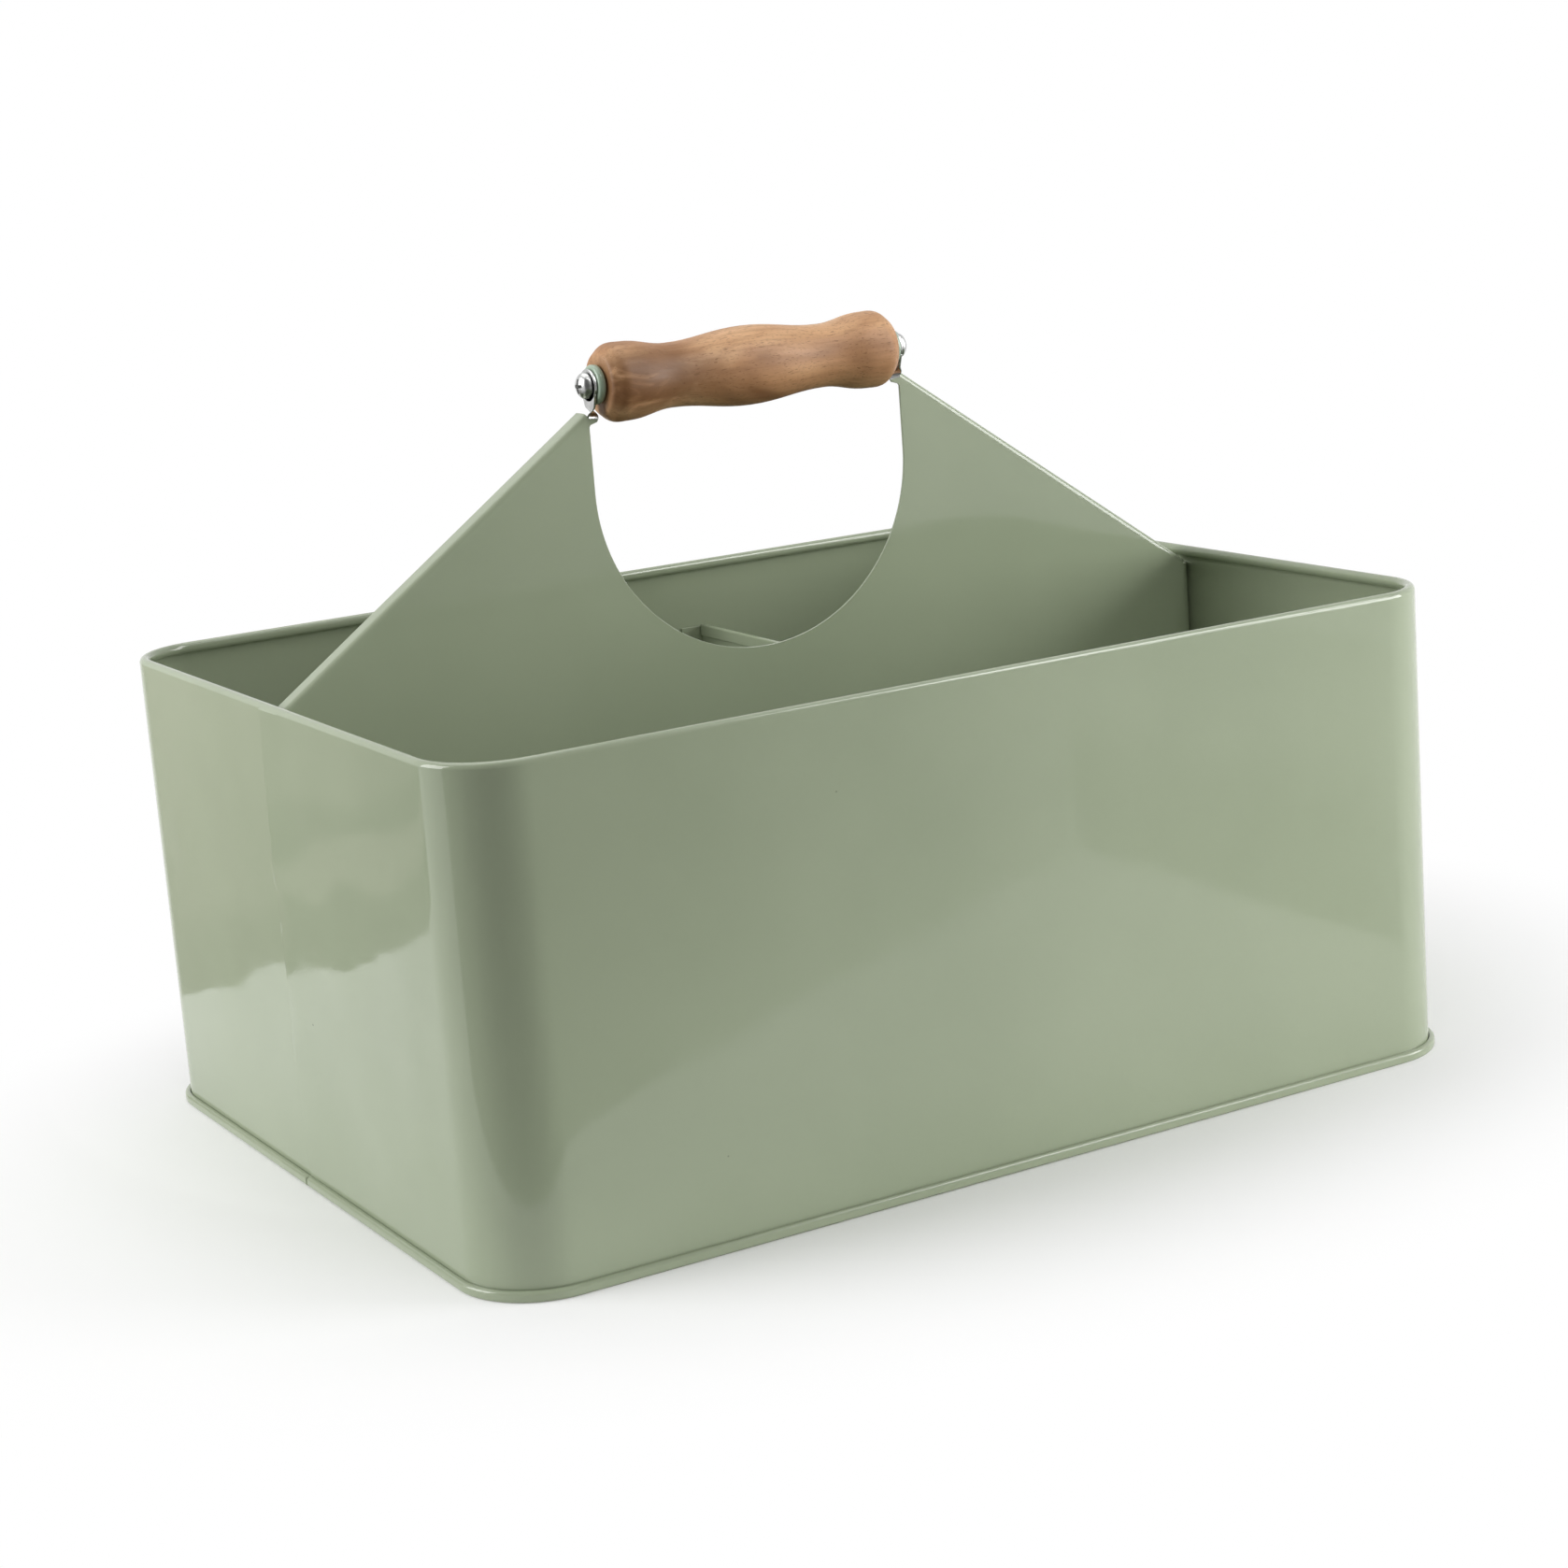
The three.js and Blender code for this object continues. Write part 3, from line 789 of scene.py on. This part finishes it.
@dataclass
class CarryingPlate(SubAssembly):
    """Plate across the middle with its hand hole, folded edges, end flanges and ears."""

    sheet: float = 0.9
    foot: float = 5.3
    end: float = 189.1
    end_bend: float = 3.0
    flange: float = 12.0
    shoulder_x: float = 185.7
    shoulder_z: float = 163.7
    tip_z: float = 249.6
    hole: float = 62.75
    hole_z: float = 221.15
    hole_steps: int = 72
    edge_depth: float = 7.0
    edge_bend: float = 2.0
    bend_steps: int = 8
    cut_edge: float = 0.16
    axis_z: float = 258.2
    ear: float = 5.6
    ear_middle: float = 61.65
    ear_steps: int = 40
    screw_hole: float = 2.3
    washer: float = 7.2
    # Neck between plate and ear, and how its slit beside the plate is cut
    neck_root: float = 5.6
    neck_twist: float = 3.2
    neck_width: float = 3.6
    neck_steps: int = 18
    slit_side: float = 0.5
    slit_top: float = 0.9
    slit_low: float = 0.7

    @property
    def slant(self) -> float:
        """Angle of the slanting edges below the horizontal."""
        return math.atan2(self.tip_z - self.shoulder_z, self.shoulder_x - self.hole)

    @property
    def drop(self) -> float:
        """How far below the folded edge the flat web stops."""
        return self.edge_bend / math.cos(self.slant)

    @property
    def web_end(self) -> float:
        """Where the flat web stops before an end's bend."""
        return self.end - self.sheet / 2 - self.end_bend

    def outline(self, made: Sheet) -> None:
        """Draws the flat web's outline and fills it.

        Args:
            made: Sheet to draw in.
        """
        neck_x, neck_z = self.hole - self.neck_width, self.tip_z - self.neck_twist
        root = self.tip_z - self.neck_root
        half = [(self.web_end, self.shoulder_z - self.drop), (self.hole, self.tip_z - self.drop),
                (self.hole, neck_z), (neck_x, neck_z),
                (neck_x + self.slit_side, neck_z - self.slit_top),
                (self.hole - self.slit_side, root + self.slit_low), (self.hole, root)]
        first = made.start(-self.web_end, 0, self.foot)
        vert = made.run(first, self.web_end, 0, self.foot)
        for x, z in (*half, (self.hole, self.hole_z)):
            vert = made.run(vert, x, 0, z)
        vert = made.arc(vert, (0, 0, self.hole_z), Axis.Y, 180, self.hole_steps)
        for x, z in reversed(half):
            vert = made.run(vert, -x, 0, z)
        made.bm.edges.new((vert, first))
        bmesh.ops.contextual_create(made.bm, geom=made.bm.edges[:])

    @staticmethod
    def edge_between(made: Sheet, low: Span, high: Span) -> Edge:
        """Finds the outline's edge whose ends are nearest two places.

        Args:
            made: Sheet of the plate.
            low: Place of one end, x and z.
            high: Place of the other end, x and z.

        Returns:
            The edge.
        """
        one, two = Vector(low), Vector(high)

        def off(edge: Edge) -> float:
            """How far an edge is from the two places."""
            a, b = (Vector((v.co.x, v.co.z)) for v in edge.verts)
            return min((a - one).length + (b - two).length, (a - two).length + (b - one).length)

        return min(made.bm.edges, key=off)

    def fold_side(self, made: Sheet, side: Side) -> None:
        """Folds back one slanting edge and one end.

        Args:
            made: Sheet of the plate.
            side: End of the plate.
        """
        way = side.value
        last = way * self.web_end
        tip = (way * self.hole, self.tip_z - self.drop)
        shoulder = (last, self.shoulder_z - self.drop)
        slope = self.edge_between(made, tip, shoulder)
        upright = self.edge_between(made, shoulder, (last, self.foot))
        middle = (tip[0], self.edge_bend - self.sheet / 2, tip[1])
        along = (way * math.cos(self.slant), 0, -math.sin(self.slant))
        top = made.swing([slope], middle, along, -90 * way, self.bend_steps)
        made.drag(top, (0, self.edge_depth - self.edge_bend, 0))
        middle = (last, self.end_bend, 0)
        turned = made.swing([upright], middle, Axis.Z.value, 90 * way, self.bend_steps)
        made.drag(turned, (0, self.flange - self.end_bend, 0))

    def add_ear(self, made: Sheet, side: Side) -> None:
        """Twists one neck up from the hand hole's edge and adds its round ear.

        Args:
            made: Sheet of the plate.
            side: End of the plate.
        """
        way = side.value
        painted = set(made.bm.faces)
        low, high = self.tip_z - self.neck_twist, self.axis_z - self.ear / 2
        turned = self.axis_z - self.washer
        chord = self.ear * math.sqrt(3)
        root = self.hole - self.neck_width / 2
        edge = self.edge_between(made, (way * self.hole, low),
                                 (way * (self.hole - self.neck_width), low))
        for step in range(1, self.neck_steps + 1):
            share = step / self.neck_steps
            part = ease(min(1.0, (high - low) * share / (turned - low)))
            middle = root + (self.ear_middle - root) * part
            half = (self.neck_width + (chord - self.neck_width) * share) / 2
            edge = made.drag([edge], (0, 0, (high - low) / self.neck_steps))[0]
            ends = sorted(edge.verts, key=lambda v: v.co.x * way - v.co.y)
            quarter = part * math.pi / 2
            for vert, sign in zip(ends, (-1, 1)):
                vert.co.x = way * (middle + sign * half * math.cos(quarter))
                vert.co.y = -sign * half * math.sin(quarter)
        centre = Vector((way * self.ear_middle, 0, self.axis_z))
        inside = made.start(*(centre + Axis.Z.vector * self.screw_hole))
        outside = made.run(inside, *(centre + Axis.Z.vector * self.ear))
        made.turn([made.bm.edges.get((inside, outside))], centre, self.ear_steps)
        for face in made.bm.faces:
            if face not in painted:
                face.material_index = 1

    def build(self) -> None:
        """Builds the plate and puts it in its solid's place."""
        made = Sheet()
        self.outline(made)
        for side in Side:
            self.fold_side(made, side)
            self.add_ear(made, side)
        made.close()
        wears = [self.finishes.enamel, self.finishes.zinc]
        piece = self.dress(made, "plate_sheet", wears, self.cut_edge, self.sheet)
        self.hand_over(piece, "carrying_plate", Body.BOX, "enamel")


@dataclass
class CrossDivider(SubAssembly):
    """Divider from the plate to the back wall, hemmed at the top and flanged at both ends."""

    sheet: float = 0.6
    x: float = 52.0
    front: float = 0.75
    back: float = 144.1
    foot: float = 5.3
    top: float = 142.0
    hem: float = 4.7
    hem_steps: int = 8
    flange: float = 10.0
    bend: float = 1.0
    bend_steps: int = 5
    web_steps: int = 12
    cut_edge: float = 0.1
    # Share of the thickness that is shown, so that the hem's two layers stay apart
    shown: float = 0.96

    def build(self) -> None:
        """Builds the divider and puts it in its solid's place."""
        made = Sheet()
        half = self.sheet / 2
        crest = self.top - half - self.sheet
        near, far = self.front + half + self.bend, self.back - half - self.bend
        low = made.start(self.x, near, self.foot)
        end = made.run(low, self.x, near, crest)
        upright = made.bm.edges.get((low, end))
        last = made.drag([upright], (0, far - near, 0), self.web_steps)[0]
        tops = [e for e in made.bm.edges if all(v.co.z > crest - half for v in e.verts)]
        for edge, y, degrees in ((upright, near, -90), (last, far, 90)):
            middle = (self.x - self.bend, y, 0)
            turned = made.swing([edge], middle, Axis.Z.value, degrees, self.bend_steps)
            made.drag(turned, (self.bend + half - self.flange, 0, 0))
        middle = (self.x - self.sheet, 0, crest)
        rolled = made.swing(tops, middle, Axis.Y.value, -180, self.hem_steps)
        made.drag(rolled, (0, 0, half + self.sheet - self.hem))
        made.close()
        thickness = self.sheet * self.shown
        piece = self.dress(made, "divider_sheet", [self.finishes.enamel], self.cut_edge, thickness)
        self.hand_over(piece, "cross_divider", Body.BOX, "enamel")


@dataclass
class Handle(SubAssembly):
    """Turned grip with a washer and a screw at each end."""

    axis_z: float = 258.2
    gap: float = 0.3
    # Grip: insets from its end and radii, and the profile's ways at the end and the shoulder
    grip_end: float = 57.7
    grip_steps: int = 64
    grip_edge: float = 0.25
    flat: float = 8.5
    flat_edge: float = 1.2
    shoulder: Span = (2.1, 12.1)
    bulge: Span = (9.5, 13.6)
    waist: Span = (27.0, 11.2)
    belly: float = 13.9
    end_way: Span = (-0.25, 1.0)
    shoulder_way: Span = (-0.72, 0.7)
    curve_pull: float = 0.4
    curve_points: int = 10
    washer: float = 6.9
    washer_thickness: float = 2.9
    washer_round: float = 1.1
    washer_round_steps: int = 6
    washer_steps: int = 48
    washer_edge: float = 0.12
    shank: float = 2.0
    shank_length: float = 26.0
    shank_point: float = 4.0
    head_x: float = 62.4
    head: float = 4.5
    head_height: float = 3.6
    head_edge: float = 0.8
    dome_steps: int = 8
    screw_steps: int = 32
    screw_edge: float = 0.1
    # Cross recess: length and width of its slots, depth under the head's top
    recess: Place = (5.0, 1.1, 1.8)
    recess_merge: float = 0.0005

    def at(self, side: Side, x: float, radius: float) -> Place:
        """Place in a section from a distance along the axis and a radius."""
        return (side.value * x, 0, self.axis_z + radius)

    def profile(self) -> list[Vector]:
        """Works out one half of the grip's profile as x and radius.

        Returns:
            Points from the end to the middle, level at the bulge, the waist and the belly.
        """
        knots = [Vector((self.grip_end - inset, radius)) for inset, radius in
                 ((0.0, self.flat + self.flat_edge), self.shoulder, self.bulge, self.waist,
                  (self.grip_end, self.belly))]
        level = Vector((-1, 0))
        ways = [Vector(self.end_way).normalized(), Vector(self.shoulder_way).normalized(),
                level, level, level]
        points: list[Vector] = []
        for (a, b), (start, stop) in zip(zip(knots, knots[1:]), zip(ways, ways[1:])):
            pull = (b - a).length * self.curve_pull
            points += geometry.interpolate_bezier(a, a + start * pull, b - stop * pull, b,
                                                  self.curve_points)[:-1]
        return [*(Vector((p[0], p[1])) for p in points), knots[-1]]

    def grip(self) -> Piece:
        """Builds the grip, bored at both ends for its screws.

        Returns:
            The object.
        """
        made = Sheet()
        clear = self.shank + self.gap
        bottom = self.head_x - self.shank_length - self.gap
        half = [(bottom, 0.0), (bottom, clear), (self.grip_end, clear), (self.grip_end, self.flat),
                *((x, radius) for x, radius in self.profile())]
        first, *others = [*((-x, radius) for x, radius in half), *reversed(half[:-1])]
        vert = made.start(first[0], 0, self.axis_z + first[1])
        for x, radius in others:
            vert = made.run(vert, x, 0, self.axis_z + radius)
        made.turn(made.bm.edges[:], (0, 0, self.axis_z), self.grip_steps)
        made.close()
        return self.dress(made, "turned_grip", [self.finishes.wood], self.grip_edge)

    def washer_disc(self, side: Side) -> Piece:
        """Builds one washer with soft edges.

        Args:
            side: End of the grip.

        Returns:
            The object.
        """
        made = Sheet()
        quarter = 90 * side.value
        inner = self.grip_end + self.gap
        outer = inner + self.washer_thickness
        bore, soft = self.shank + self.gap, self.washer_round
        rim, steps = self.washer - soft, self.washer_round_steps
        first = made.start(*self.at(side, inner, bore))
        vert = made.run(first, *self.at(side, inner, rim))
        vert = made.arc(vert, self.at(side, inner + soft, rim), Axis.Y, quarter, steps)
        vert = made.run(vert, *self.at(side, outer - soft, self.washer))
        vert = made.arc(vert, self.at(side, outer - soft, rim), Axis.Y, quarter, steps)
        vert = made.run(vert, *self.at(side, outer, bore))
        made.bm.edges.new((vert, first))
        made.turn(made.bm.edges[:], (0, 0, self.axis_z), self.washer_steps)
        made.close()
        wears = [self.finishes.washer_enamel]
        return self.dress(made, f"washer_disc_{side.word}", wears, self.washer_edge)

    def screw(self, side: Side) -> Piece:
        """Builds one screw: shank, round head and cross recess.

        Args:
            side: End of the grip.

        Returns:
            The object.
        """
        made = Sheet()
        tip = self.head_x - self.shank_length
        brim = self.head_x + self.head_edge
        rise = self.head_height - self.head_edge
        vert = made.start(*self.at(side, tip, 0))
        for x, radius in ((tip + self.shank_point, self.shank), (self.head_x, self.shank),
                          (self.head_x, self.head), (brim, self.head)):
            vert = made.run(vert, *self.at(side, x, radius))
        for step in range(1, self.dome_steps + 1):
            angle = step / self.dome_steps * math.pi / 2
            x, radius = brim + rise * math.sin(angle), self.head * math.cos(angle)
            vert = made.run(vert, *self.at(side, x, radius))
        made.turn(made.bm.edges[:], (0, 0, self.axis_z), self.screw_steps)
        made.close()
        self.cut_recess(made, side)
        return self.dress(made, f"zinc_screw_{side.word}", [self.finishes.zinc], self.screw_edge)

    def cut_recess(self, made: Sheet, side: Side) -> None:
        """Sinks the cross into a screw's head.

        Args:
            made: Sheet of the screw.
            side: End of the grip.
        """
        length, width, depth = self.recess
        centre = Vector((0, 0, self.axis_z))
        for axis in (Axis.Y.vector, Axis.Z.vector):
            for off in (-length / 2, -width / 2, width / 2, length / 2):
                every = [*made.bm.verts, *made.bm.edges, *made.bm.faces]
                bmesh.ops.bisect_plane(made.bm, geom=every, dist=self.recess_merge,
                                       plane_co=centre + axis * off, plane_no=axis)
        sunk = []
        for face in made.bm.faces:
            at = face.calc_center_median() - centre
            near, far = sorted((abs(at.y), abs(at.z)))
            on_head = side.value * at.x > self.head_x + self.head_edge
            if on_head and near < width / 2 and far < length / 2:
                sunk.append(face)
        deep = bmesh.ops.extrude_face_region(made.bm, geom=sunk)["geom"]
        bmesh.ops.delete(made.bm, geom=sunk, context="FACES")
        for part in deep:
            if isinstance(part, Vert):
                part.co.x = side.value * (self.head_x + self.head_height - depth)

    def build(self) -> None:
        """Builds the grip, washers and screws and puts them in their solids' places."""
        self.hand_over(self.grip(), "grip", Body.HANDLE, "wood")
        for side in Side:
            self.hand_over(self.washer_disc(side), f"washer_{side.word}", Body.HANDLE,
                           "washer_paint")
            self.hand_over(self.screw(side), f"screw_{side.word}", Body.HANDLE, "zinc")


@dataclass(frozen=True)
class Lamp:
    """Soft square lamp.

    Attributes:
        name: Name of the lamp.
        place: Where it hangs, in metres.
        size: Side of its face.
        watts: Its power.
        lights: Whether it lights the object, or is only mirrored in it.
    """

    name: str
    place: Place
    size: float
    watts: float
    lights: bool = True

    def hang(self, aim: Place) -> None:
        """Hangs the lamp.

        Args:
            aim: Place that it faces.
        """
        data = bpy.data.lights.new(self.name, "AREA")
        data.shape = "SQUARE"
        data.size = self.size
        data.energy = self.watts
        made = bpy.data.objects.new(self.name, data)
        turn = (Vector(self.place) - Vector(aim)).to_track_quat("Z", "Y").to_matrix().to_4x4()
        made.matrix_world = Matrix.Translation(self.place) @ turn
        made.visible_diffuse = self.lights
        bpy.context.scene.collection.objects.link(made)


@dataclass(frozen=True)
class Card:
    """Standing card that the camera doesn't see, for the glossy paint to mirror.

    Attributes:
        name: Name of the card.
        corner: Left end of its lower edge, x and y in metres.
        size: Its width and height.
        turn: Angle about the upright, in degrees.
        way: X for bands across it, Z for bands up it.
        bands: Parts of its width or height and how pale it is there.
        tint: Colour of its palest part.
        thins: Part of its width, at the far end, where it turns clear.
        shades: Whether it also keeps soft light off the object.
        lift: Height of its lower edge over the floor, in millimetres.
    """

    name: str
    corner: Span
    size: Span
    turn: float
    way: Axis
    bands: tuple[Span, ...]
    tint: Place = (1.0, 1.0, 1.0)
    thins: float = 0.0
    shades: bool = False
    lift: float = 1.0

    def material(self) -> Material:
        """Paints the card in its bands.

        Returns:
            The material.
        """
        width, height = self.size
        paint = Paint(self.name)
        over = paint.place((1 / width, 1.0, 1 / height), (*self.corner, 0.0), self.turn)
        apart = paint.node("ShaderNodeSeparateXYZ", {0: over}).outputs
        tones = [(part, (*(pale * share for share in self.tint), 1.0)) for part, pale in self.bands]
        paint.feed("Base Color", paint.ramp(apart[self.way.name], tones))
        paint.feed("Specular IOR Level", 0.0)
        if self.thins:
            clear = paint.spread(apart["X"], (1 - self.thins, 1.0))
            paint.cover(clear, "ShaderNodeBsdfTransparent")
        return paint.material

    def stand(self) -> None:
        """Stands the card in the studio."""
        made = Sheet()
        low = made.start(0, 0, self.lift)
        foot = made.run(low, self.size[0] / MM, 0, self.lift)
        made.drag([made.bm.edges.get((low, foot))], (0, 0, self.size[1] / MM))
        spin = Matrix.Rotation(math.radians(self.turn), 3, Axis.Z.vector)
        bmesh.ops.rotate(made.bm, cent=(0, 0, 0), matrix=spin, verts=made.bm.verts)
        bmesh.ops.translate(made.bm, vec=Vector((*self.corner, 0)) / MM, verts=made.bm.verts)
        piece = made.piece(self.name, [self.material()])
        piece.visible_camera = False
        piece.visible_diffuse = self.shades
        piece.visible_shadow = False


PHOTO_AZIMUTH = -29.46
WARM = (1.0, 0.88, 0.82)
LAMPS = (
    Lamp("top_back", (0.0, 0.5, 1.6), 1.2, 6.0),
    Lamp("top_front", (0.0, -0.9, 1.6), 1.0, 8.5),
    Lamp("left", (-1.3, 0.45, 0.75), 1.0, 17.5),
    Lamp("right", (1.4, -1.05, 0.5), 0.9, 22.0),
    Lamp("rim", (0.8, -0.9, 1.2), 0.65, 12.0, lights=False),
)
CARDS = (
    Card("front_card", (-0.404, -0.105), (0.85, 1.0), PHOTO_AZIMUTH, Axis.X,
         ((0.0, 0.3), (0.5, 0.36), (0.65, 0.65), (0.85, 0.85), (1.0, 0.9)), shades=True),
    Card("right_card", (0.262, -0.98), (0.78, 0.12), 90.0, Axis.Z,
         ((0.0, 0.1), (0.35, 0.15), (0.6, 0.6), (1.0, 0.8)), thins=0.13),
    Card("left_card", (-0.5, 0.265), (0.207, 0.16), 0.0, Axis.Z,
         ((0.0, 0.1), (0.18, 0.14), (0.21, 0.5), (0.3, 0.55), (0.34, 0.12), (0.45, 0.2),
          (0.5, 0.4), (0.75, 0.5), (1.0, 0.6)), WARM),
    Card("back_card", (-0.293, 0.265), (0.1, 0.16), 0.0, Axis.Z,
         ((0.0, 0.35), (0.15, 0.4), (0.225, 0.6), (0.75, 0.72), (1.0, 0.85)), WARM, thins=0.45),
)


@dataclass
class Studio:
    """Floor, lamps, cards, white surround and the photograph's camera."""

    camera_place: Place = (-0.5530, -0.9842, 0.3641)
    azimuth: float = PHOTO_AZIMUTH
    elevation: float = 12.82
    roll: float = -4.33
    lens: float = 73.73
    sensor: float = 36.0
    farthest: float = 100.0
    aim: Place = (0.0, 0.0, 0.1)
    floor_size: float = 40.0
    floor_clouds: Pattern = Pattern((2.28, 3.0, 3.0), levels=(0.2, 0.8))
    floor_tones: Span = (0.93, 0.95)
    floor_roughness: float = 0.9
    # The floor turns white between these distances, with X squashed so that they follow the box
    squash: Place = (0.76, 1.0, 1.0)
    fade: Span = (0.14, 0.29)
    surround: float = 0.12

    def camera(self) -> None:
        """Sets the camera where the photograph's edges put it."""
        az, el, roll = (math.radians(a) for a in (self.azimuth, self.elevation, self.roll))
        level = Vector((math.cos(az), math.sin(az), 0))
        ahead = Vector((-math.sin(az), math.cos(az), 0))
        back = Axis.Z.vector * math.sin(el) - ahead * math.cos(el)
        rise = back.cross(level)
        right = level * math.cos(roll) + rise * math.sin(roll)
        up = rise * math.cos(roll) - level * math.sin(roll)
        data = bpy.data.cameras.new("photo_camera")
        data.lens = self.lens
        data.sensor_width = self.sensor
        data.clip_end = self.farthest
        made = bpy.data.objects.new("photo_camera", data)
        turn = Matrix((right, up, back)).transposed().to_4x4()
        made.matrix_world = Matrix.Translation(self.camera_place) @ turn
        bpy.context.scene.collection.objects.link(made)
        bpy.context.scene.camera = made

    def floor(self) -> None:
        """Lays the pale floor, which keeps the shadow and turns into the white surround."""
        made = Sheet()
        bmesh.ops.create_grid(made.bm, x_segments=1, y_segments=1, size=self.floor_size / MM / 2)
        paint = Paint("studio_floor")
        tones = [(part, (tone, tone, tone, 1.0)) for part, tone in enumerate(self.floor_tones)]
        paint.feed("Base Color", paint.ramp(paint.layer(self.floor_clouds), tones))
        paint.feed("Roughness", self.floor_roughness)
        paint.feed("Specular IOR Level", 0.0)
        far = paint.spread(paint.reach(paint.place(self.squash)), self.fade)
        paint.cover(paint.times(far, paint.seen()), "ShaderNodeEmission")
        made.piece("floor", [paint.material])

    def world(self) -> None:
        """Surrounds the studio with soft white, full white where it is seen or mirrored."""
        made = bpy.data.worlds.new("surround")
        nodes = Nodes(made)
        inputs = {"Value": nodes.seen(), "To Min": self.surround, "To Max": 1.0}
        level = nodes.node("ShaderNodeMapRange", inputs).outputs["Result"]
        inputs = {"Color": (1.0, 1.0, 1.0, 1.0), "Strength": level}
        sky = nodes.node("ShaderNodeBackground", inputs).outputs[0]
        nodes.node("ShaderNodeOutputWorld", {"Surface": sky})
        bpy.context.scene.world = made

    def build(self) -> None:
        """Builds the whole studio."""
        self.camera()
        self.floor()
        self.world()
        for lamp in LAMPS:
            lamp.hang(self.aim)
        for card in CARDS:
            card.stand()
        bpy.context.scene.view_settings.view_transform = "Standard"


def main() -> None:
    """Builds the studio and the pieces in order."""
    logging.basicConfig(level=logging.INFO, format="%(message)s")
    Studio().build()
    finishes = Finishes(*(finish.material() for finish in (SAGE, PALE_SAGE, OILED_WOOD, ZINC)))
    for group in (BoxShell, CarryingPlate, CrossDivider, Handle):
        group(finishes).build()


if __name__ == "__main__":
    main()
